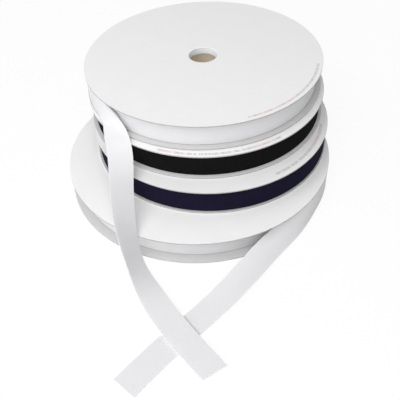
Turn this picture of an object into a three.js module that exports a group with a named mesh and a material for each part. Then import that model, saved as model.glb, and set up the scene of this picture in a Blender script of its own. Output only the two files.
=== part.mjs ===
// Four reels of hook and loop tape, stacked off centre on one another, with two free tape tails.
// Millimetres, +Z up. The origin is the middle of the stack's footprint, on the surface it stands on.

import * as THREE from 'three';
import { mergeVertices } from 'three/addons/utils/BufferGeometryUtils.js';

// Tape
const TAPE_WIDTH = 20;
const TAPE_THICKNESS = 1.6;
const TURN_GAP = 0.5;
const OUTER_TURNS = 2;

// Reel boards, hub and core
const UPPER_FLANGE_DIAMETER = 210;
const BOTTOM_FLANGE_DIAMETER = 235;
const BOARD_THICKNESS = 1.2;
const BORE_DIAMETER = 25;
const COLLAR_WALL = 1.4;
const COLLAR_DEPTH = 4.5;
const CORE_WALL = 4;

// Clearances
const SEAT_GAP = 0.3;
const STACK_GAP = 0.3;
const LAP_GAP = 0.5;

// How far each tail has worked loose of its winding where it leaves
const TOP_TAIL_LOOSENESS = 1.2;
const BOTTOM_TAIL_LOOSENESS = 4.6;

// Outside diameters of the windings
const BOTTOM_WINDING_DIAMETER = 221.5;
const NAVY_WINDING_DIAMETER = 208.8;
const BLACK_WINDING_DIAMETER = 206;
const TOP_WINDING_DIAMETER = 202.5;

// Where the upper reels' axes stand from the bottom reel's axis
const NAVY_SHIFT = [12.5, 19.3];
const BLACK_SHIFT = [9.6, 35.4];
const TOP_SHIFT = [8, 43.2];

// Facets
const FLANGE_SIDES = 64;
const HUB_SIDES = 32;
const STEPS_PER_TURN = 48;
const LAP_STEP_DEGREES = 5;
const STEPS_PER_STATION = 2;

// Finishes
const WHITE_BOARD = { color: 0xf1f1ef, roughness: 0.62, metalness: 0 };
const WHITE_COLLAR = { color: 0xe9e9e6, roughness: 0.55, metalness: 0 };
const KRAFT_BOARD = { color: 0x9c8672, roughness: 0.9, metalness: 0 };
const WHITE_TAPE = { color: 0xe4e4e3, roughness: 0.85, metalness: 0 };
const BLACK_TAPE = { color: 0x171718, roughness: 0.8, metalness: 0 };
const NAVY_TAPE = { color: 0x1c1b30, roughness: 0.8, metalness: 0 };

// Directions of winding, seen from above, towards the tape's outer end
const ANTICLOCKWISE = 1;
const CLOCKWISE = -1;

// The reels from the surface up
const BOTTOM_REEL = {
  name: 'bottom_reel',
  flangeDiameter: BOTTOM_FLANGE_DIAMETER,
  windingDiameter: BOTTOM_WINDING_DIAMETER,
  shift: [0, 0],
  direction: CLOCKWISE,
  endDegrees: 77,
  tape: WHITE_TAPE,
};
const NAVY_REEL = {
  name: 'navy_reel',
  flangeDiameter: UPPER_FLANGE_DIAMETER,
  windingDiameter: NAVY_WINDING_DIAMETER,
  shift: NAVY_SHIFT,
  direction: ANTICLOCKWISE,
  endDegrees: 20,
  tape: NAVY_TAPE,
};
const BLACK_REEL = {
  name: 'black_reel',
  flangeDiameter: UPPER_FLANGE_DIAMETER,
  windingDiameter: BLACK_WINDING_DIAMETER,
  shift: BLACK_SHIFT,
  direction: ANTICLOCKWISE,
  endDegrees: 80,
  tape: BLACK_TAPE,
};
const TOP_REEL = {
  name: 'top_reel',
  flangeDiameter: UPPER_FLANGE_DIAMETER,
  windingDiameter: TOP_WINDING_DIAMETER,
  shift: TOP_SHIFT,
  direction: ANTICLOCKWISE,
  endDegrees: 124,
  tape: WHITE_TAPE,
};
const REELS = [BOTTOM_REEL, NAVY_REEL, BLACK_REEL, TOP_REEL];

// Free routes of the tails from the bottom reel's axis: the middle of the tape, and the way across it
// from its lower or left edge to its upper or right edge
const TOP_TAIL = {
  reel: TOP_REEL,
  leaveDegrees: 203,
  looseness: TOP_TAIL_LOOSENESS,
  route: [
    { at: [-84, -4.8, 81.4], across: [0.02, 0, 1] },
    { at: [-80.3, -11.9, 81.4], across: [0.14, -0.09, 0.98] },
    { at: [-76.1, -18.9, 80.2], across: [0.44, -0.3, 0.85] },
    { at: [-70.1, -27, 76.8], across: [0.76, -0.45, 0.46] },
    { at: [-66.8, -36.6, 73.9], across: [0.95, -0.22, 0.18] },
    { at: [-64.4, -47.2, 70.8], across: [0.99, 0.04, 0.12] },
    { at: [-62.8, -56.2, 65.9], across: [0.98, 0.14, -0.05] },
    { at: [-62.4, -65.8, 58.6], across: [0.94, 0.22, -0.27] },
    { at: [-62.5, -75.5, 51.1], across: [0.87, 0.3, -0.38] },
    { at: [-61.9, -87.7, 43.4], across: [0.83, 0.34, -0.44] },
    { at: [-60.6, -101, 36], across: [0.77, 0.4, -0.5] },
    { at: [-58.3, -113.5, 29], across: [0.64, 0.58, -0.51] },
    { at: [-55.8, -121, 19], across: [0.55, 0.72, -0.43] },
    { at: [-52.4, -128.5, 10.5], across: [0.58, 0.68, -0.45] },
    { at: [-47.6, -137.5, 5.4], across: [0.74, 0.56, -0.36] },
    { at: [-40.5, -151, 3.5], across: [0.85, 0.51, -0.12] },
    { at: [-31.9, -166, 3], across: [0.85, 0.53, 0] },
    { at: [-21.7, -181.7, 3], across: [0.82, 0.57, 0] },
    { at: [-9.6, -198.5, 2.4], across: [0.8, 0.6, 0] },
    { at: [3.6, -215.2, 1.2], across: [0.79, 0.62, 0] },
  ],
};
const BOTTOM_TAIL = {
  reel: BOTTOM_REEL,
  leaveDegrees: -20,
  looseness: BOTTOM_TAIL_LOOSENESS,
  route: [
    { at: [105.1, -51.2, 11.5], across: [0, 0, 1] },
    { at: [99.2, -62.2, 11.5], across: [0, 0, 1] },
    { at: [92.6, -72.2, 11.5], across: [-0.05, 0.02, 1] },
    { at: [85.4, -81, 11.5], across: [-0.15, 0.12, 0.98] },
    { at: [76.8, -89.5, 10.5], across: [-0.28, 0.25, 0.93] },
    { at: [63.2, -100.8, 8.6], across: [-0.48, 0.45, 0.75] },
    { at: [50.5, -112.5, 7], across: [-0.62, 0.55, 0.56] },
    { at: [34.8, -129.5, 5], across: [-0.72, 0.63, 0.28] },
    { at: [18.4, -147.3, 3.2], across: [-0.72, 0.69, 0.08] },
    { at: [2.8, -162.3, 1.6], across: [-0.69, 0.73, 0.01] },
    { at: [-12.9, -176.7, 0.9], across: [-0.68, 0.74, 0] },
    { at: [-28.6, -191.2, 0.9], across: [-0.69, 0.72, 0] },
    { at: [-43.6, -206.3, 0.9], across: [-0.72, 0.7, 0] },
    { at: [-58.3, -221.8, 0.9], across: [-0.73, 0.69, 0] },
  ],
};

// Sizes that follow from the driving ones
const TURN_PITCH = TAPE_THICKNESS + TURN_GAP;
const BARREL_LENGTH = TAPE_WIDTH + 2 * SEAT_GAP;
const REEL_HEIGHT = BARREL_LENGTH + 2 * BOARD_THICKNESS;
const BORE_RADIUS = BORE_DIAMETER / 2;
const COLLAR_RADIUS = BORE_RADIUS + COLLAR_WALL;
const CORE_BORE_RADIUS = COLLAR_RADIUS + SEAT_GAP;
const CORE_RADIUS = CORE_BORE_RADIUS + CORE_WALL;
const TAPE_BASE = BOARD_THICKNESS + SEAT_GAP;

function piece(name, geometry, finish) {
  const mesh = new THREE.Mesh(geometry, new THREE.MeshStandardMaterial(finish));
  mesh.name = name;
  return mesh;
}

// A plain ring about +Z
function ring(innerRadius, outerRadius, base, height, sides) {
  const profile = [
    new THREE.Vector2(innerRadius, base),
    new THREE.Vector2(outerRadius, base),
    new THREE.Vector2(outerRadius, base + height),
    new THREE.Vector2(innerRadius, base + height),
    new THREE.Vector2(innerRadius, base),
  ];
  return new THREE.LatheGeometry(profile, sides).rotateX(Math.PI / 2);
}

// A flat ribbon of the tape's section through stations, each with its middle, its way along and its way across
function ribbon(stations) {
  const corners = [];
  for (const { middle, along, across } of stations) {
    const wide = across.clone().setLength(TAPE_WIDTH / 2);
    const thick = along.clone().cross(wide).setLength(TAPE_THICKNESS / 2);
    corners.push(middle.clone().add(wide).add(thick));
    corners.push(middle.clone().sub(wide).add(thick));
    corners.push(middle.clone().sub(wide).sub(thick));
    corners.push(middle.clone().add(wide).sub(thick));
  }
  const sides = 4;
  const faces = [];
  for (let step = 0; step + 1 < stations.length; step += 1) {
    for (let side = 0; side < sides; side += 1) {
      const a = step * sides + side;
      const b = step * sides + ((side + 1) % sides);
      faces.push(a, b, a + sides, b, b + sides, a + sides);
    }
  }
  const last = (stations.length - 1) * sides;
  faces.push(0, 2, 1, 0, 3, 2);
  faces.push(last, last + 1, last + 2, last, last + 2, last + 3);
  const geometry = new THREE.BufferGeometry().setFromPoints(corners);
  geometry.setIndex(faces);
  return mergeVertices(geometry);
}

// A station of tape that stands on its edge, at an angle about a reel's axis
function standingStation(radius, angle, direction, height) {
  const middle = new THREE.Vector3(radius * Math.cos(angle), radius * Math.sin(angle), height);
  const along = new THREE.Vector3(-Math.sin(angle), Math.cos(angle), 0).multiplyScalar(direction);
  return { middle, along, across: new THREE.Vector3(0, 0, 1) };
}

// The outer turns: one ribbon that spirals out to the winding's diameter
function outerTurnStations(reel) {
  const lastRadius = reel.windingDiameter / 2 - TAPE_THICKNESS / 2;
  const endAngle = THREE.MathUtils.degToRad(reel.endDegrees);
  const steps = OUTER_TURNS * STEPS_PER_TURN;
  const stations = [];
  for (let step = 0; step <= steps; step += 1) {
    const turnsLeft = (steps - step) / STEPS_PER_TURN;
    const radius = lastRadius - TURN_PITCH * turnsLeft;
    const angle = endAngle - reel.direction * 2 * Math.PI * turnsLeft;
    stations.push(standingStation(radius, angle, reel.direction, TAPE_BASE + TAPE_WIDTH / 2));
  }
  return stations;
}

// Least air between a spiral's neighbouring turns, over its stations
function leastTurnGap(stations) {
  let least = Infinity;
  for (let i = 0; i < stations.length; i += 1) {
    for (let j = i + STEPS_PER_TURN / 2; j < stations.length; j += 1) {
      least = Math.min(least, stations[i].middle.distanceTo(stations[j].middle));
    }
  }
  const facetShrink = Math.cos(Math.PI / STEPS_PER_TURN);
  return least * facetShrink - TAPE_THICKNESS;
}

// The wound tape under the outer turns, as one plain ring
function woundTape(reel) {
  const spiralInside = reel.windingDiameter / 2 - TAPE_THICKNESS - OUTER_TURNS * TURN_PITCH;
  const clearRadius = spiralInside * Math.cos(Math.PI / STEPS_PER_TURN) - SEAT_GAP;
  return ring(CORE_RADIUS + SEAT_GAP, clearRadius, TAPE_BASE, TAPE_WIDTH, FLANGE_SIDES);
}

function buildReel(reel, base) {
  const flangeRadius = reel.flangeDiameter / 2;
  const upperBoard = REEL_HEIGHT - BOARD_THICKNESS;
  const upperCollar = upperBoard - SEAT_GAP - COLLAR_DEPTH;
  const flange = (at) => ring(BORE_RADIUS, flangeRadius, at, BOARD_THICKNESS, FLANGE_SIDES);
  const collar = (at) => ring(BORE_RADIUS, COLLAR_RADIUS, at, COLLAR_DEPTH, HUB_SIDES);
  const core = ring(CORE_BORE_RADIUS, CORE_RADIUS, TAPE_BASE, TAPE_WIDTH, HUB_SIDES);
  const turns = outerTurnStations(reel);
  console.log(`${reel.name}: least gap between turns ${leastTurnGap(turns).toFixed(2)} mm`);

  const group = new THREE.Group();
  group.add(piece(`${reel.name}_lower_flange`, flange(0), WHITE_BOARD));
  group.add(piece(`${reel.name}_upper_flange`, flange(upperBoard), WHITE_BOARD));
  group.add(piece(`${reel.name}_lower_hub_collar`, collar(TAPE_BASE), WHITE_COLLAR));
  group.add(piece(`${reel.name}_upper_hub_collar`, collar(upperCollar), WHITE_COLLAR));
  group.add(piece(`${reel.name}_core_tube`, core, KRAFT_BOARD));
  group.add(piece(`${reel.name}_wound_tape`, woundTape(reel), reel.tape));
  group.add(piece(`${reel.name}_outer_turns`, ribbon(turns), reel.tape));
  group.position.set(...reel.shift, base);
  return group;
}

// A tail laps the winding from the end of the outer turns, works loose of it and then runs free
function tailStations(tail, base) {
  const { reel } = tail;
  const tightRadius = reel.windingDiameter / 2 + LAP_GAP + TAPE_THICKNESS / 2;
  const lapDegrees = Math.abs(tail.leaveDegrees - reel.endDegrees);
  const lapSteps = Math.round(lapDegrees / LAP_STEP_DEGREES);
  const axis = new THREE.Vector3(...reel.shift, base);
  const middles = [];
  const acrosses = [];
  for (let step = 0; step <= lapSteps; step += 1) {
    const share = step / lapSteps;
    const radius = tightRadius + tail.looseness * share ** 2;
    const angle = THREE.MathUtils.degToRad(reel.endDegrees + reel.direction * lapDegrees * share);
    const station = standingStation(radius, angle, reel.direction, TAPE_BASE + TAPE_WIDTH / 2);
    middles.push(station.middle.add(axis));
    acrosses.push(station.across);
  }
  for (const { at, across } of tail.route) {
    middles.push(new THREE.Vector3(...at));
    acrosses.push(new THREE.Vector3(...across));
  }
  const middleCurve = new THREE.CatmullRomCurve3(middles, false, 'catmullrom');
  const acrossCurve = new THREE.CatmullRomCurve3(acrosses, false, 'catmullrom');
  const steps = (middles.length - 1) * STEPS_PER_STATION;
  const stations = [];
  for (let step = 0; step <= steps; step += 1) {
    const share = step / steps;
    stations.push({
      middle: middleCurve.getPoint(share),
      along: middleCurve.getTangent(share),
      across: acrossCurve.getPoint(share),
    });
  }
  return stations;
}

// The middle of the reels' footprint, from the bottom reel's axis
function footprintMiddle(axisIndex) {
  const highs = REELS.map((reel) => reel.shift[axisIndex] + reel.flangeDiameter / 2);
  const lows = REELS.map((reel) => reel.shift[axisIndex] - reel.flangeDiameter / 2);
  return (Math.max(...highs) + Math.min(...lows)) / 2;
}

const stack = new THREE.Group();
const bases = new Map();
REELS.forEach((reel, level) => {
  const base = level * (REEL_HEIGHT + STACK_GAP);
  bases.set(reel, base);
  stack.add(buildReel(reel, base));
});
for (const tail of [TOP_TAIL, BOTTOM_TAIL]) {
  const stations = tailStations(tail, bases.get(tail.reel));
  stack.add(piece(`${tail.reel.name}_tail`, ribbon(stations), tail.reel.tape));
}
stack.position.set(-footprintMiddle(0), -footprintMiddle(1), 0);

export default stack;
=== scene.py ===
"""Looks of a stack of four hook and loop tape reels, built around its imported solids.

Lengths are millimetres and angles degrees, unless the comment above a value says otherwise.
A noise is a scale and a detail, and a bump is a depth and a strength.
A pair named range, share or roughness goes from its first value to its last."""

import math

import bmesh
import bpy
from mathutils import Matrix, Vector


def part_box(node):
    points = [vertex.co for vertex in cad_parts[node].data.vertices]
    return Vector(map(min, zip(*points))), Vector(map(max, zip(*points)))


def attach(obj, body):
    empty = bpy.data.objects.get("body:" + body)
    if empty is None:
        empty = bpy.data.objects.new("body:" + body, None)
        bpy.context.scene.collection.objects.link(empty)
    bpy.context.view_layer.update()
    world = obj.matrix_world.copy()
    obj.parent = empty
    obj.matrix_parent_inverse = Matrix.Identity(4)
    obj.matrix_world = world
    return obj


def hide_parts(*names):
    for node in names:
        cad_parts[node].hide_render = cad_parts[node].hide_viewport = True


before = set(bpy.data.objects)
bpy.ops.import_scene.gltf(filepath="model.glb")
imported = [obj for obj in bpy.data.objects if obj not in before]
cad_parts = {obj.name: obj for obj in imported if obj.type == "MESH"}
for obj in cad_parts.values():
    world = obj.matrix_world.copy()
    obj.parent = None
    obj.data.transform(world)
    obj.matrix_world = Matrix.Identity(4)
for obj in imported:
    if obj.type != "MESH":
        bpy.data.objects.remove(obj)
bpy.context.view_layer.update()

MM = 0.001
FULL_TURN = 2 * math.pi

# Camera at the photograph's viewing angle, with its turns in radians
IMAGE_SIDE = 400
FOCAL_PIXELS = 566.06
SENSOR_WIDTH = 36
CAMERA_FROM_BOTTOM_AXIS = (-1.33, -405.23, 351.17)
CAMERA_PITCH = 0.7731
CAMERA_ROLL = 0.0524
NEAREST_SEEN = 10

# Tape, boards and hub, as the solids have them
TAPE_WIDTH = 20
TAPE_THICKNESS = 1.6
TURN_GAP = 0.5
OUTER_TURNS = 2
LAP_GAP = 0.5
BOARD_THICKNESS = 1.2
BORE_RADIUS = 12.5
COLLAR_WALL = 1.4
SEAT_GAP = 0.3

# Sizes that follow from these
TURN_PITCH = TAPE_THICKNESS + TURN_GAP
TAPE_BASE = BOARD_THICKNESS + SEAT_GAP
CORE_BORE_RADIUS = BORE_RADIUS + COLLAR_WALL + SEAT_GAP

# Edges of the tape from its underside up: the way in from its side, and out from its middle
WOVEN_EDGE = [
    (0.2, -0.8), (0, -0.6), (0, 0.4), (0.1, 0.6), (0.4, 0.72), (0.9, 0.75), (1.4, 0.76), (2.2, 0.8),
]
CRISP_EDGE = [(0.05, -0.8), (0, -0.75), (0, 0), (0, 0.75), (0.05, 0.8)]
OVERHUNG_EDGE = [
    (0.9, -0.8), (0.6, -0.5), (0.3, 0), (0.05, 0.5), (0, 0.66), (0.03, 0.74), (0.12, 0.79), (0.3, 0.8),
]

# Where the tape's underside and its pile are divided along it, from its middle
UNDERSIDE_LINES = (-5, 0, 5)
PILE_LINES = (4, 0, -4)

# How finely the pieces are divided
RIM_SIDES = 192
HUB_SIDES = 96
WOUND_SIDES = 64
RINGS_PER_TURN = 2
CORE_LEVELS = 28
CORNER_STEPS = 4
FLANGE_FACE_STEPS = 6
COLLAR_FACE_STEPS = 2
WINDING_STEPS = 144
STEPS_PER_STATION = 8
LAP_STEP = 5
SHARP_ANGLE = 40

# Rounded edges of the rings, and the flat strip beside each round
BORE_ROUND = 0.5
RIM_ROUND = 0.15
COLLAR_ROUND = 0.12
STRIP_WIDTH = 0.3

# How far a collar reaches across the solids' clearance to its flange
COLLAR_LIFT = 0.22

# The seam of the core's last ply, and the groove between two turns' edges on a winding's faces
SEAM_PITCH = 30
SEAM_WIDTH = 1.2
SEAM_DEPTH = 0.25
EDGE_DEPTH = 0.25

# A tail starts thin and close on its winding, and its cut end is set back under the pile
FEATHER_LENGTH = 25
FEATHER_START = 0.2
FEATHER_GAP = 0.15
END_UNDERCUT = 0.9
END_STEPS = 5

# Directions of winding, seen from above, towards the tape's outer end
ANTICLOCKWISE = 1
CLOCKWISE = -1

# Each reel: its winding, the angle where its outer turns end, its tape, how white its boards are, and the
# darker white of the boards' inner sides, which is painted shade
REELS = {
    "bottom_reel": {
        "winding": 221.5, "direction": CLOCKWISE, "end": 77,
        "tape": "white_tape", "white": 0.93, "shaded_inner_white": 0.61,
    },
    "navy_reel": {
        "winding": 208.8, "direction": ANTICLOCKWISE, "end": 20,
        "tape": "navy_tape", "white": 0.89, "shaded_inner_white": 0.5,
    },
    "black_reel": {
        "winding": 206, "direction": ANTICLOCKWISE, "end": 80,
        "tape": "black_tape", "white": 0.88, "shaded_inner_white": 0.67,
    },
    "top_reel": {
        "winding": 202.5, "direction": ANTICLOCKWISE, "end": 124,
        "tape": "white_tape", "white": 0.89, "shaded_inner_white": 0.6,
    },
}

# The two sides of a reel, and whether a flange's inner side faces up or down there
INNER_SIDES = {"lower": 1, "upper": -1}

# Free routes of the tails from the bottom reel's axis: the tape's middle, then the way across it
TOP_ROUTE = [
    ((-84, -4.8, 81.4), (0.02, 0, 1)),
    ((-80.3, -11.9, 81.4), (0.14, -0.09, 0.98)),
    ((-76.1, -18.9, 80.2), (0.44, -0.3, 0.85)),
    ((-70.1, -27, 76.8), (0.76, -0.45, 0.46)),
    ((-66.8, -36.6, 73.9), (0.95, -0.22, 0.18)),
    ((-64.4, -47.2, 70.8), (0.99, 0.04, 0.12)),
    ((-62.8, -56.2, 65.9), (0.98, 0.14, -0.05)),
    ((-62.4, -65.8, 58.6), (0.94, 0.22, -0.27)),
    ((-62.5, -75.5, 51.1), (0.87, 0.3, -0.38)),
    ((-61.9, -87.7, 43.4), (0.83, 0.34, -0.44)),
    ((-60.6, -101, 36), (0.77, 0.4, -0.5)),
    ((-58.3, -113.5, 29), (0.64, 0.58, -0.51)),
    ((-55.8, -121, 19), (0.55, 0.72, -0.43)),
    ((-52.4, -128.5, 10.5), (0.58, 0.68, -0.45)),
    ((-47.6, -137.5, 5.4), (0.74, 0.56, -0.36)),
    ((-40.5, -151, 3.5), (0.85, 0.51, -0.12)),
    ((-31.9, -166, 3), (0.85, 0.53, 0)),
    ((-21.7, -181.7, 3), (0.82, 0.57, 0)),
    ((-9.6, -198.5, 2.4), (0.8, 0.6, 0)),
    ((3.6, -215.2, 1.2), (0.79, 0.62, 0)),
]
BOTTOM_ROUTE = [
    ((105.1, -51.2, 11.5), (0, 0, 1)),
    ((99.2, -62.2, 11.5), (0, 0, 1)),
    ((92.6, -72.2, 11.5), (-0.05, 0.02, 1)),
    ((85.4, -81, 11.5), (-0.15, 0.12, 0.98)),
    ((76.8, -89.5, 10.5), (-0.28, 0.25, 0.93)),
    ((63.2, -100.8, 8.6), (-0.48, 0.45, 0.75)),
    ((50.5, -112.5, 7), (-0.62, 0.55, 0.56)),
    ((34.8, -129.5, 5), (-0.72, 0.63, 0.28)),
    ((18.4, -147.3, 3.2), (-0.72, 0.69, 0.08)),
    ((2.8, -162.3, 1.6), (-0.69, 0.73, 0.01)),
    ((-12.9, -176.7, 0.9), (-0.68, 0.74, 0)),
    ((-28.6, -191.2, 0.9), (-0.69, 0.72, 0)),
    ((-43.6, -206.3, 0.9), (-0.72, 0.7, 0)),
    ((-58.3, -221.8, 0.9), (-0.73, 0.69, 0)),
]

# Each tail: the angle where it leaves its winding, how loose it is there, its cut's slant and its free route
TAILS = {
    "top_reel": {"leave": 203, "loose": 1.2, "slant": 2.6, "route": TOP_ROUTE},
    "bottom_reel": {"leave": -20, "loose": 4.6, "slant": 0, "route": BOTTOM_ROUTE},
}

# Tick marks on the upper flanges: their first and last angle, their way in from the rim and their length
TICKS = {
    "top_reel": {"first": -72, "last": -14, "inset": 4.2, "length": 2.2},
    "black_reel": {"first": -115, "last": -56, "inset": 3.4, "length": 2.6},
    "navy_reel": {"first": -61, "last": -14, "inset": 5.6, "length": 2.6},
}

# Ranges that several looks share
WHOLE_RANGE = (0.0, 1.0)
NOISE_RANGE = (0.3, 0.7)
BROAD_NOISE_RANGE = (0.2, 0.8)
PATCH_RANGE = (0.35, 0.7)

# Board: mottled, with darker fibres, a worn rim and grey plies on its cut edge
BOARD_MOTTLE = (45.0, 3.0)
BOARD_FIBRE = (1400.0, 2.0)
BOARD_WEAR = (220.0, 2.0)
OUTER_SPREAD = 0.02
INNER_SPREAD = 0.03
FIBRE_DARKER = 0.1
FIBRE_SHARE = (0.0, 0.12)
WEAR_SHARE = (0.1, 0.5)
RIM_WEAR = 0.7
WORN_BOARD = (0.7, 0.69, 0.68, 1)
PLY_PITCH = 0.4
DARK_PLY = (0.42, 0.41, 0.4, 1)
PALE_PLY = (0.55, 0.54, 0.53, 1)
BOARD_ROUGHNESS = (0.48, 0.6)
BOARD_BUMP = (0.06, 0.25)

# How upright a normal has to be on a board's inner side to take its painted shade, and the range over which
# a face turns into edge
SHADED_SIDE_FROM = 0.5
CUT_EDGE_RANGE = (0.8, 0.4)

# Printed tick marks, in groups of uneven strength and of two inks
TICK_PITCH = 0.62
TICK_PART = 0.55
GROUP_NOISE = (30.0, 3.0)
GROUP_RANGE = (0.34, 0.56)
GROUP_SHARE = (0.1, 0.9)
INK_NOISE = (9.0, 2.0)
INK_RANGE = (0.46, 0.58)
RED_INK = (0.6, 0.3, 0.31, 1)
GREY_INK = (0.36, 0.34, 0.36, 1)

# Hub collars
COLLAR_MOTTLE = (160.0, 3.0)
COLLAR_GRAIN = (2200.0, 1.0)
DARK_COLLAR = (0.91, 0.92, 0.94, 1)
PALE_COLLAR = (0.95, 0.96, 0.98, 1)
COLLAR_ROUGHNESS = (0.45, 0.58)
COLLAR_BUMP = (0.04, 0.3)

# Kraft board, whose fibres run round the core: the stretch is in metres for each radian
KRAFT_FIBRE = (2600.0, 4.0)
KRAFT_STRETCH = (0.004, 0.002)
KRAFT_PATCH = (180.0, 3.0)
KRAFT_PATCH_SHARE = (0.0, 0.4)
DARK_KRAFT = (0.53, 0.44, 0.32, 1)
PALE_KRAFT = (0.7, 0.6, 0.46, 1)
PATCH_KRAFT = (0.75, 0.68, 0.54, 1)
KRAFT_ROUGHNESS = (0.8, 0.95)
KRAFT_BUMP = (0.12, 0.5)

# Tapes: the colours of the pile's grooves, darkened as painted shade, of its tips and of the selvage, and
# how much ribs and gloss show
TAPES = {
    "white_tape": {
        "shaded_groove": (0.77, 0.77, 0.785, 1), "pile": (0.82, 0.82, 0.835, 1), "selvage": (0.8, 0.8, 0.815, 1),
        "rib": 0.2, "gloss": 0.1,
    },
    "black_tape": {
        "shaded_groove": (0.004, 0.004, 0.004, 1), "pile": (0.012, 0.012, 0.012, 1),
        "selvage": (0.009, 0.009, 0.009, 1), "rib": 0.35, "gloss": 0.02,
    },
    "navy_tape": {
        "shaded_groove": (0.007, 0.0065, 0.016, 1), "pile": (0.016, 0.0145, 0.035, 1),
        "selvage": (0.012, 0.011, 0.026, 1), "rib": 0.45, "gloss": 0.02,
    },
}
TAPE_MAP = "tape"
RIB_PITCH = 1.5
THREAD_PITCH = 0.7
TAPE_FUZZ = (2400.0, 3.0)
TAPE_CLOUD = (110.0, 2.0)
CLOUD_PART = 0.2
LIFT_RANGE = (0.25, 0.75)
WEAVE_SHARE = (0.0, 0.5)
FUZZ_HEIGHT = 0.6
RIB_HEIGHT = 0.3
THREAD_HEIGHT = 0.15
SELVAGE_HEIGHT = 0.15
TAPE_ROUGHNESS = (0.75, 0.92)
TAPE_BUMP = (0.15, 0.4)

# Where the pile ends at the selvage, from the tape's middle
SELVAGE_RANGE = (8.35, 8.7)

# Studio, in metres and watts
FLOOR_SIZE = 8
FLOOR_DROP = 0.0002
FLOOR_BOUNCE = 0.9
FLOOR_SHADOW = 0.09
WORLD_LEVEL = 0.3
LAMPS = {
    "key": {"at": (-0.31, -0.61, 1.02), "size": 1.4, "power": 10.8},
    "front": {"at": (-0.1, -1.47, 0.85), "size": 1.6, "power": 4.4},
    "left": {"at": (-1.45, -0.26, 0.85), "size": 1.6, "power": 5.5},
}


def axis_of(reel):
    """The reel's axis where it meets the underside of its lower flange, in metres."""
    low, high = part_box(f"{reel}_lower_flange")
    return Vector(((low.x + high.x) / 2, (low.y + high.y) / 2, low.z))


def on_axis(reel, level):
    """The place on a reel's axis at that level, in metres."""
    axis = axis_of(reel)
    return axis.x, axis.y, level


def size_of(node):
    """A ring's outer radius, its base and its height, in millimetres."""
    low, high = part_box(node)
    return (high.x - low.x) / 2 / MM, low.z / MM, (high.z - low.z) / MM


BOTTOM_AXIS = axis_of("bottom_reel")


def make_camera():
    level = Vector((1, 0, 0))
    forward = Vector((0, math.cos(CAMERA_PITCH), -math.sin(CAMERA_PITCH)))
    down = Vector((0, -math.sin(CAMERA_PITCH), -math.cos(CAMERA_PITCH)))
    right = level * math.cos(CAMERA_ROLL) + down * math.sin(CAMERA_ROLL)
    up = level * math.sin(CAMERA_ROLL) - down * math.cos(CAMERA_ROLL)
    data = bpy.data.cameras.new("camera")
    data.sensor_fit = "HORIZONTAL"
    data.sensor_width = SENSOR_WIDTH
    data.lens = FOCAL_PIXELS * SENSOR_WIDTH / IMAGE_SIDE
    data.clip_start = NEAREST_SEEN * MM
    camera = bpy.data.objects.new("camera", data)
    turn = Matrix((right, up, -forward)).transposed().to_4x4()
    place = BOTTOM_AXIS + Vector(CAMERA_FROM_BOTTOM_AXIS) * MM
    camera.matrix_world = Matrix.Translation(place) @ turn
    bpy.context.scene.collection.objects.link(camera)
    bpy.context.scene.camera = camera


class Graph:
    """A tree of shader nodes, with short calls for those that the looks share."""

    def __init__(self, tree):
        self.tree = tree

    def feed(self, socket, value):
        if isinstance(value, bpy.types.NodeSocket):
            self.tree.links.new(value, socket)
        else:
            socket.default_value = value

    def add(self, kind, inputs, output=0, **settings):
        node = self.tree.nodes.new(kind)
        for key, value in settings.items():
            setattr(node, key, value)
        for key, value in inputs.items():
            self.feed(node.inputs[key], value)
        return node.outputs[output]

    def math(self, operation, first, second=0.0):
        return self.add("ShaderNodeMath", {0: first, 1: second}, operation=operation)

    def weigh(self, first, first_weight, second, second_weight):
        """The sum of two values, each times its weight."""
        left = self.math("MULTIPLY", first, first_weight)
        right = self.math("MULTIPLY", second, second_weight)
        return self.math("ADD", left, right)

    def noise(self, vector, kind):
        scale, detail = kind
        return self.add("ShaderNodeTexNoise", {"Vector": vector, "Scale": scale, "Detail": detail})

    def span(self, value, source, target=WHOLE_RANGE):
        """The value carried over from one range to another, and held at its ends."""
        inputs = {"Value": value, 1: source[0], 2: source[1], 3: target[0], 4: target[1]}
        return self.add("ShaderNodeMapRange", inputs)

    def mix(self, share, first, second):
        inputs = {0: share, 6: first, 7: second}
        return self.add("ShaderNodeMix", inputs, output=2, data_type="RGBA")

    def split(self, vector):
        node = self.tree.nodes.new("ShaderNodeSeparateXYZ")
        self.feed(node.inputs[0], vector)
        return node.outputs[0], node.outputs[1], node.outputs[2]

    def join(self, x, y, z):
        return self.add("ShaderNodeCombineXYZ", {0: x, 1: y, 2: z})

    def wave(self, value, pitch):
        """A sine along value, from 0 to 1, with that pitch in millimetres."""
        turned = self.math("SINE", self.math("MULTIPLY", value, FULL_TURN / (pitch * MM)))
        return self.span(turned, (-1.0, 1.0))

    def place(self):
        return self.add("ShaderNodeTexCoord", {}, output="Object")

    def surface(self, colour, roughness, height, bump):
        depth, strength = bump
        shader = self.tree.nodes["Principled BSDF"]
        relief = {"Strength": strength, "Distance": depth * MM, "Height": height}
        self.feed(shader.inputs["Base Color"], colour)
        self.feed(shader.inputs["Roughness"], roughness)
        self.feed(shader.inputs["Normal"], self.add("ShaderNodeBump", relief))
        return shader


def new_material(name):
    material = bpy.data.materials.new(name)
    material.use_nodes = True
    return material, Graph(material.node_tree)


def grey(level):
    return (level, level, level, 1)


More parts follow.
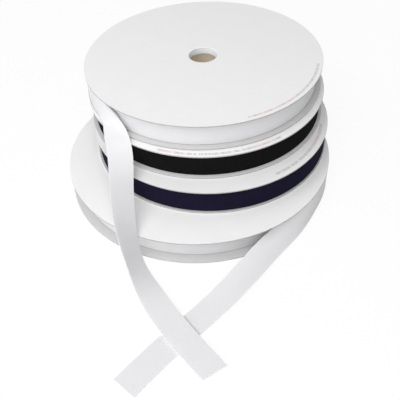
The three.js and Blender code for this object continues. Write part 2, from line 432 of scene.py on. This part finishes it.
def board_material(reel, side):
    """Board with a white coat outside, a side towards the tape darkened with painted shade, and a cut edge
    of grey plies.
    """
    material, graph = new_material(f"{reel}_{side}_board")
    white = REELS[reel]["white"]
    shaded_inner_white = REELS[reel]["shaded_inner_white"]
    rim_radius, _, _ = size_of(f"{reel}_{side}_flange")
    worn_radius = rim_radius - RIM_WEAR
    place = graph.place()
    x, y, z = graph.split(place)
    radius = graph.math("SQRT", graph.weigh(x, x, y, y))
    mottle = graph.noise(place, BOARD_MOTTLE)
    fibre = graph.noise(place, BOARD_FIBRE)
    colour = graph.mix(mottle, grey(white - OUTER_SPREAD), grey(white + OUTER_SPREAD))
    colour = graph.mix(graph.span(fibre, NOISE_RANGE, FIBRE_SHARE), colour, grey(white - FIBRE_DARKER))
    rim = graph.span(radius, (worn_radius * MM, rim_radius * MM))
    wear = graph.span(graph.noise(place, BOARD_WEAR), PATCH_RANGE, WEAR_SHARE)
    colour = graph.mix(graph.math("MULTIPLY", rim, wear), colour, WORN_BOARD)
    # Painted shade: the inner side, towards the tape, is made darker, as if shaded by the flange across the
    # winding, by an amount set per reel
    _, _, upright = graph.split(graph.add("ShaderNodeTexCoord", {}, output="Normal"))
    inward = graph.math("MULTIPLY", upright, INNER_SIDES[side])
    painted_inner_shade = graph.mix(mottle, grey(shaded_inner_white - INNER_SPREAD), grey(shaded_inner_white + INNER_SPREAD))
    colour = graph.mix(graph.math("GREATER_THAN", inward, SHADED_SIDE_FROM), colour, painted_inner_shade)
    on_edge = graph.span(graph.math("ABSOLUTE", upright), CUT_EDGE_RANGE)
    at_rim = graph.math("GREATER_THAN", radius, worn_radius * MM)
    plies = graph.mix(graph.wave(z, PLY_PITCH), DARK_PLY, PALE_PLY)
    colour = graph.mix(graph.math("MULTIPLY", on_edge, at_rim), colour, plies)
    if side == "upper" and reel in TICKS:
        colour = printed(graph, colour, (x, y), radius, rim_radius, TICKS[reel])
    graph.surface(colour, graph.span(mottle, NOISE_RANGE, BOARD_ROUGHNESS), fibre, BOARD_BUMP)
    return material


def printed(graph, colour, place, radius, rim_radius, ticks):
    """The colour with tick marks printed over it near the rim."""
    x, y = place
    middle = math.radians((ticks["first"] + ticks["last"]) / 2)
    half_width = math.radians((ticks["last"] - ticks["first"]) / 2)
    ahead = graph.weigh(x, math.cos(middle), y, math.sin(middle))
    aside = graph.weigh(y, math.cos(middle), x, -math.sin(middle))
    angle = graph.math("ARCTAN2", aside, ahead)
    step = graph.math("FRACT", graph.math("DIVIDE", angle, math.radians(TICK_PITCH)))
    off_band = graph.math("SUBTRACT", radius, (rim_radius - ticks["inset"]) * MM)
    along = graph.join(angle, ticks["inset"], 0.0)
    mark = graph.span(graph.noise(along, GROUP_NOISE), GROUP_RANGE, GROUP_SHARE)
    limits = [
        graph.math("LESS_THAN", step, TICK_PART),
        graph.math("LESS_THAN", graph.math("ABSOLUTE", off_band), ticks["length"] * MM / 2),
        graph.math("LESS_THAN", graph.math("ABSOLUTE", angle), half_width),
    ]
    for limit in limits:
        mark = graph.math("MULTIPLY", mark, limit)
    ink = graph.mix(graph.span(graph.noise(along, INK_NOISE), INK_RANGE), GREY_INK, RED_INK)
    return graph.mix(mark, colour, ink)


def collar_material():
    material, graph = new_material("hub_collar")
    place = graph.place()
    mottle = graph.noise(place, COLLAR_MOTTLE)
    grain = graph.noise(place, COLLAR_GRAIN)
    colour = graph.mix(mottle, DARK_COLLAR, PALE_COLLAR)
    graph.surface(colour, graph.span(mottle, NOISE_RANGE, COLLAR_ROUGHNESS), grain, COLLAR_BUMP)
    return material


def kraft_material():
    material, graph = new_material("kraft_board")
    place = graph.place()
    x, y, z = graph.split(place)
    angle = graph.math("ARCTAN2", y, x)
    round_x, round_y = [graph.math("MULTIPLY", angle, stretch) for stretch in KRAFT_STRETCH]
    fibre = graph.noise(graph.join(round_x, round_y, z), KRAFT_FIBRE)
    patch = graph.noise(place, KRAFT_PATCH)
    colour = graph.mix(graph.span(fibre, NOISE_RANGE), DARK_KRAFT, PALE_KRAFT)
    colour = graph.mix(graph.span(patch, PATCH_RANGE, KRAFT_PATCH_SHARE), colour, PATCH_KRAFT)
    graph.surface(colour, graph.span(fibre, BROAD_NOISE_RANGE, KRAFT_ROUGHNESS), fibre, KRAFT_BUMP)
    return material


def tape_material(name):
    """Woven tape with a pile between its selvages, ribbed across, by its own length and width."""
    look = TAPES[name]
    material, graph = new_material(name)
    along, across, _ = graph.split(graph.add("ShaderNodeUVMap", {}, uv_map=TAPE_MAP))
    flat = graph.join(along, across, 0.0)
    pile_end, selvage_start = SELVAGE_RANGE
    selvage = graph.span(graph.math("ABSOLUTE", across), (pile_end * MM, selvage_start * MM))
    rib = graph.wave(along, RIB_PITCH)
    thread = graph.wave(across, THREAD_PITCH)
    fuzz = graph.noise(flat, TAPE_FUZZ)
    cloud = graph.noise(flat, TAPE_CLOUD)
    lift = graph.weigh(rib, look["rib"], fuzz, 1 - look["rib"])
    lift = graph.weigh(lift, 1 - CLOUD_PART, cloud, CLOUD_PART)
    # Painted shade: the pile is darker where its ribs and fuzz lie low, in the same pattern as its bump,
    # with random tone from the cloud noise
    pile = graph.mix(graph.span(lift, LIFT_RANGE), look["shaded_groove"], look["pile"])
    weave = graph.math("MULTIPLY", thread, graph.wave(along, THREAD_PITCH))
    plain = graph.mix(graph.span(weave, WHOLE_RANGE, WEAVE_SHARE), look["selvage"], look["pile"])
    colour = graph.mix(selvage, pile, plain)
    height = graph.weigh(fuzz, FUZZ_HEIGHT, rib, RIB_HEIGHT)
    height = graph.math("MULTIPLY", height, graph.span(selvage, WHOLE_RANGE, (1.0, SELVAGE_HEIGHT)))
    height = graph.math("ADD", height, graph.math("MULTIPLY", thread, THREAD_HEIGHT))
    roughness = graph.span(fuzz, BROAD_NOISE_RANGE, TAPE_ROUGHNESS)
    shader = graph.surface(colour, roughness, height, TAPE_BUMP)
    shader.inputs["Specular IOR Level"].default_value = look["gloss"]
    return material


def make_materials():
    materials = {name: tape_material(name) for name in TAPES}
    materials["hub_collar"] = collar_material()
    materials["kraft_board"] = kraft_material()
    return materials


def add_piece(name, points, faces, material, at, uvs=None):
    """A closed mesh in metres, about its own place, with its faces turned outwards."""
    mesh = bpy.data.meshes.new(name)
    mesh.from_pydata([tuple(point) for point in points], [], faces)
    mesh.materials.append(material)
    if uvs:
        layer = mesh.uv_layers.new(name=TAPE_MAP)
        for loop in mesh.loops:
            layer.data[loop.index].uv = uvs[loop.vertex_index]
    shell = bmesh.new()
    shell.from_mesh(mesh)
    bmesh.ops.recalc_face_normals(shell, faces=shell.faces)
    shell.to_mesh(mesh)
    shell.free()
    mesh.shade_smooth()
    mesh.set_sharp_from_angle(angle=math.radians(SHARP_ANGLE))
    piece = bpy.data.objects.new(name, mesh)
    piece.location = at
    bpy.context.scene.collection.objects.link(piece)
    return piece


def settle(piece, body, node):
    """Tie a piece to its body, and hide the solid that it stands for."""
    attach(piece, body)
    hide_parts(node)


def rounded_ring(inner, outer, height, inner_round, outer_round, face_steps):
    """Section of a flat ring with rounded edges, as (radius, height) in millimetres."""
    section = []

    def corner(radius, level, size, first_degrees):
        for step in range(CORNER_STEPS + 1):
            angle = math.radians(first_degrees + 90 * step / CORNER_STEPS)
            section.append((radius + size * math.cos(angle), level + size * math.sin(angle)))

    def face(start, end, level):
        for step in range(face_steps + 1):
            section.append((start + (end - start) * step / face_steps, level))

    inside = inner + inner_round + STRIP_WIDTH
    outside = outer - outer_round - STRIP_WIDTH
    corner(outer - outer_round, outer_round, outer_round, -90)
    corner(outer - outer_round, height - outer_round, outer_round, 0)
    face(outside, inside, height)
    corner(inner + inner_round, height - inner_round, inner_round, 90)
    corner(inner + inner_round, inner_round, inner_round, 180)
    face(inside, outside, 0)
    return section


def turn_section(section, sides):
    """Points and faces of a closed section turned about +Z."""
    count = len(section)
    points = []
    faces = []
    for side in range(sides):
        angle = FULL_TURN * side / sides
        for radius, level in section:
            points.append(Vector((radius * math.cos(angle), radius * math.sin(angle), level)) * MM)
    for side in range(sides):
        near = side * count
        far = ((side + 1) % sides) * count
        for step in range(count):
            after = (step + 1) % count
            faces.append((near + step, far + step, far + after, near + after))
    return points, faces


def make_flange(reel, side):
    node = f"{reel}_{side}_flange"
    radius, base, height = size_of(node)
    section = rounded_ring(BORE_RADIUS, radius, height, BORE_ROUND, RIM_ROUND, FLANGE_FACE_STEPS)
    points, faces = turn_section(section, RIM_SIDES)
    piece = add_piece(f"{node}_board", points, faces, board_material(reel, side), on_axis(reel, base * MM))
    settle(piece, reel, node)


def make_collar(reel, side, material):
    """A collar, with the seam to its flange drawn closer than the solids' clearance."""
    node = f"{reel}_{side}_hub_collar"
    radius, base, height = size_of(node)
    height += COLLAR_LIFT
    if side == "lower":
        base -= COLLAR_LIFT
    section = rounded_ring(BORE_RADIUS, radius, height, COLLAR_ROUND, COLLAR_ROUND, COLLAR_FACE_STEPS)
    points, faces = turn_section(section, HUB_SIDES)
    piece = add_piece(f"{node}_ring", points, faces, material, on_axis(reel, base * MM))
    settle(piece, reel, node)


def make_core(reel, material):
    """A spiral-wound tube: the seam of its last ply runs round it as a shallow groove."""
    node = f"{reel}_core_tube"
    radius, base, height = size_of(node)
    levels = [height * step / CORE_LEVELS for step in range(CORE_LEVELS + 1)]
    section = [(radius, level) for level in levels]
    section += [(CORE_BORE_RADIUS, level) for level in reversed(levels)]
    points, faces = turn_section(section, HUB_SIDES)
    wall_middle = (radius + CORE_BORE_RADIUS) / 2 * MM
    for point in points:
        angle = math.atan2(point.y, point.x) / FULL_TURN
        off_seam = (point.z / MM / SEAM_PITCH - angle) % 1
        off_seam = min(off_seam, 1 - off_seam) * SEAM_PITCH
        if off_seam < SEAM_WIDTH:
            at_radius = math.hypot(point.x, point.y)
            into_wall = -1 if at_radius > wall_middle else 1
            depth = SEAM_DEPTH * MM * (1 - off_seam / SEAM_WIDTH)
            share = (at_radius + into_wall * depth) / at_radius
            point.x *= share
            point.y *= share
    piece = add_piece(f"{node}_kraft", points, faces, material, on_axis(reel, base * MM))
    settle(piece, reel, node)


def make_wound_tape(reel, material):
    """The inner turns as one mass, whose two faces show the edge of the tape as it winds out."""
    node = f"{reel}_wound_tape"
    radius, base, height = size_of(node)
    core_radius, _, _ = size_of(f"{reel}_core_tube")
    inner = core_radius + SEAT_GAP
    rings = round((radius - inner) / TURN_PITCH) * RINGS_PER_TURN
    direction = REELS[reel]["direction"]
    section = [(inner + (radius - inner) * step / rings, 0) for step in range(rings + 1)]
    section += [(radius - (radius - inner) * step / rings, height) for step in range(rings + 1)]
    points, faces = turn_section(section, WOUND_SIDES)
    half_height = height / 2 * MM
    uvs = []
    for point in points:
        angle = math.atan2(point.y, point.x) / FULL_TURN
        at_radius = math.hypot(point.x, point.y) / MM
        phase = ((at_radius - inner) / TURN_PITCH - direction * angle) % 1
        sunk = EDGE_DEPTH * abs(2 * phase - 1) * MM
        point.z += sunk if point.z < half_height else -sunk
        uvs.append((angle * FULL_TURN * radius * MM, point.z - half_height))
    piece = add_piece(f"{node}_edges", points, faces, material, on_axis(reel, base * MM), uvs)
    settle(piece, reel, node)


def tape_section(far_edge, near_edge):
    """Closed section of tape: the way across it, and out from its middle towards the pile."""
    side = TAPE_WIDTH / 2
    face = TAPE_THICKNESS / 2
    far = [(side - inset, level) for inset, level in far_edge]
    near = [(inset - side, level) for inset, level in near_edge]
    underside = [(line, -face) for line in UNDERSIDE_LINES]
    pile = [(line, face) for line in PILE_LINES]
    return [near[0], *underside, *far, *pile, *reversed(near[1:])]


# On a loose end the pile hangs over the woven backing at the near edge, and the far edge is crisp
WOUND_SECTION = tape_section(WOVEN_EDGE, WOVEN_EDGE)
TAIL_SECTION = tape_section(CRISP_EDGE, OVERHUNG_EDGE)


def ribbon(stations, section):
    """Points, faces and (along, across) places of tape through stations, in millimetres.

    A station is the tape's middle, its way across, its way out towards the pile and its thickness."""
    count = len(section)
    points = []
    faces = []
    uvs = []
    run = 0.0
    for index, (middle, across, out, thickness) in enumerate(stations):
        if index:
            run += (middle - stations[index - 1][0]).length
        for wide, high in section:
            level = high * thickness / TAPE_THICKNESS
            points.append((middle + across * wide + out * level) * MM)
            uvs.append((run * MM, wide * MM))
    for index in range(len(stations) - 1):
        near = index * count
        for step in range(count):
            after = (step + 1) % count
            faces.append((near + step, near + after, near + count + after, near + count + step))
    faces.append(tuple(range(count)))
    faces.append(tuple(range(len(points) - count, len(points))))
    return points, faces, uvs


def make_outer_turns(reel, material):
    """The outer turns: one unbroken tape that winds out to the winding's outside."""
    facts = REELS[reel]
    node = f"{reel}_outer_turns"
    low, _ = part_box(node)
    last_radius = facts["winding"] / 2 - TAPE_THICKNESS / 2
    steps = OUTER_TURNS * WINDING_STEPS
    stations = []
    for step in range(steps + 1):
        turns_left = (steps - step) / WINDING_STEPS
        radius = last_radius - TURN_PITCH * turns_left
        angle = math.radians(facts["end"]) - facts["direction"] * FULL_TURN * turns_left
        out = Vector((math.cos(angle), math.sin(angle), 0))
        stations.append((out * radius, Vector((0, 0, 1)), out, TAPE_THICKNESS))
    points, faces, uvs = ribbon(stations, WOUND_SECTION)
    at = on_axis(reel, low.z + TAPE_WIDTH / 2 * MM)
    piece = add_piece(f"{node}_tape", points, faces, material, at, uvs)
    settle(piece, reel, node)


def smooth_route(values, steps):
    """Points of a uniform Catmull-Rom curve through values, and its way along at each."""
    held = [values[0] * 2 - values[1], *values, values[-1] * 2 - values[-2]]
    spans = len(values) - 1
    places = []
    ways = []
    for step in range(spans * steps + 1):
        span = min(step // steps, spans - 1)
        share = step / steps - span
        before, start, end, beyond = held[span:span + 4]
        first_way = (end - before) / 2
        last_way = (beyond - start) / 2
        square = (end - start) * 3 - first_way * 2 - last_way
        cube = (start - end) * 2 + first_way + last_way
        places.append(start + first_way * share + square * share ** 2 + cube * share ** 3)
        ways.append(first_way + square * 2 * share + cube * 3 * share ** 2)
    return places, ways


def lap_of(reel):
    """A tail's middles and thicknesses round its winding, from the end of the outer turns.

    It starts thin and close, and works loose towards the place where it leaves."""
    facts = REELS[reel]
    tail = TAILS[reel]
    winding = facts["winding"] / 2
    lap = abs(tail["leave"] - facts["end"])
    steps = round(lap / LAP_STEP)
    axis = (axis_of(reel) - BOTTOM_AXIS) / MM
    level = TAPE_BASE + TAPE_WIDTH / 2
    middles = []
    thicknesses = []
    for step in range(steps + 1):
        turned = lap * step / steps
        angle = math.radians(facts["end"] + facts["direction"] * turned)
        feather = min(1.0, math.radians(turned) * winding / FEATHER_LENGTH)
        thickness = TAPE_THICKNESS * (FEATHER_START + (1 - FEATHER_START) * feather)
        gap = FEATHER_GAP + (LAP_GAP - FEATHER_GAP) * feather
        gap += tail["loose"] * (step / steps) ** 2
        radius = winding + gap + thickness / 2
        middles.append(axis + Vector((radius * math.cos(angle), radius * math.sin(angle), level)))
        thicknesses.append(thickness)
    return middles, thicknesses


def tail_stations(reel):
    """Stations of a tail, which laps its winding and then runs free along its route."""
    route = TAILS[reel]["route"]
    middles, thicknesses = lap_of(reel)
    acrosses = [Vector((0, 0, 1)) for _ in middles]
    middles += [Vector(middle) for middle, _ in route]
    acrosses += [Vector(across) for _, across in route]
    thicknesses += [TAPE_THICKNESS for _ in route]
    places, ways = smooth_route(middles, STEPS_PER_STATION)
    wides, _ = smooth_route(acrosses, STEPS_PER_STATION)
    thicks, _ = smooth_route(thicknesses, STEPS_PER_STATION)
    stations = []
    for place, way, wide, thick in zip(places, ways, wides, thicks):
        across = wide.normalized()
        out = way.cross(across).normalized() * REELS[reel]["direction"]
        stations.append((place, across, out, thick))
    return stations


def cut_back(points, stations, slant):
    """Set a tail's cut end back under its pile, and one corner by slant, eased over the last steps."""
    count = len(TAIL_SECTION)
    back = (stations[-2][0] - stations[-1][0]).normalized() * MM
    for lag in range(END_STEPS):
        first = len(points) - count * (lag + 1)
        share = 1 - lag / END_STEPS
        for step, (wide, high) in enumerate(TAIL_SECTION):
            below_pile = 0.5 - high / TAPE_THICKNESS
            to_corner = 0.5 - wide / TAPE_WIDTH
            points[first + step] += back * (END_UNDERCUT * below_pile + slant * to_corner) * share


def make_tail(reel, material):
    """A tail, which rides on the bottom reel, because it lies where it is when another reel turns."""
    node = f"{reel}_tail"
    stations = tail_stations(reel)
    points, faces, uvs = ribbon(stations, TAIL_SECTION)
    cut_back(points, stations, TAILS[reel]["slant"])
    piece = add_piece(f"{node}_tape", points, faces, material, BOTTOM_AXIS, uvs)
    settle(piece, "bottom_reel", node)


def seen_rays(graph):
    """1 where the camera sees a thing itself, in gloss or through glass, and 0 for the light it sends."""
    rays = graph.tree.nodes.new("ShaderNodeLightPath").outputs
    seen = graph.math("MAXIMUM", rays["Is Camera Ray"], rays["Is Glossy Ray"])
    return graph.math("MAXIMUM", seen, rays["Is Transmission Ray"])


def make_floor():
    """A floor that is seen as white with a soft shadow, and sends back light as a pale one does."""
    material, graph = new_material("floor")
    graph.tree.nodes.clear()
    bounce = graph.add("ShaderNodeBsdfDiffuse", {"Color": grey(FLOOR_BOUNCE)})
    shadow = graph.add("ShaderNodeBsdfDiffuse", {"Color": grey(FLOOR_SHADOW)})
    glow = graph.add("ShaderNodeEmission", {"Color": grey(1), "Strength": 1 - FLOOR_SHADOW})
    seen = graph.add("ShaderNodeAddShader", {0: shadow, 1: glow})
    both = graph.add("ShaderNodeMixShader", {0: seen_rays(graph), 1: bounce, 2: seen})
    output = graph.tree.nodes.new("ShaderNodeOutputMaterial")
    graph.feed(output.inputs["Surface"], both)
    half = FLOOR_SIZE / 2
    mesh = bpy.data.meshes.new("floor")
    corners = [(-half, -half, 0), (half, -half, 0), (half, half, 0), (-half, half, 0)]
    mesh.from_pydata(corners, [], [(0, 1, 2, 3)])
    mesh.materials.append(material)
    floor = bpy.data.objects.new("floor", mesh)
    floor.location.z = -FLOOR_DROP
    bpy.context.scene.collection.objects.link(floor)


def make_world():
    """Even light from all round, with a white background."""
    world = bpy.data.worlds.new("studio")
    world.use_nodes = True
    bpy.context.scene.world = world
    graph = Graph(world.node_tree)
    graph.tree.nodes.clear()
    light = graph.add("ShaderNodeBackground", {"Color": grey(1), "Strength": WORLD_LEVEL})
    white = graph.add("ShaderNodeBackground", {"Color": grey(1), "Strength": 1.0})
    both = graph.add("ShaderNodeMixShader", {0: seen_rays(graph), 1: light, 2: white})
    output = graph.tree.nodes.new("ShaderNodeOutputWorld")
    graph.feed(output.inputs["Surface"], both)


def make_lamp(name, at, size, power):
    """A round lamp, turned towards the middle of the stack's footprint."""
    data = bpy.data.lights.new(name, "AREA")
    data.shape = "DISK"
    data.size = size
    data.energy = power
    lamp = bpy.data.objects.new(name, data)
    lamp.location = at
    lamp.rotation_mode = "QUATERNION"
    lamp.rotation_quaternion = (-Vector(at)).to_track_quat("-Z", "Y")
    bpy.context.scene.collection.objects.link(lamp)


make_camera()
materials = make_materials()
for reel in TAILS:
    make_tail(reel, materials["white_tape"])
for reel, facts in REELS.items():
    for side in INNER_SIDES:
        make_flange(reel, side)
    for side in INNER_SIDES:
        make_collar(reel, side, materials["hub_collar"])
    make_core(reel, materials["kraft_board"])
    make_wound_tape(reel, materials[facts["tape"]])
    make_outer_turns(reel, materials[facts["tape"]])
make_floor()
make_world()
for name, lamp in LAMPS.items():
    make_lamp(name, **lamp)
bpy.context.scene.view_settings.view_transform = "Standard"
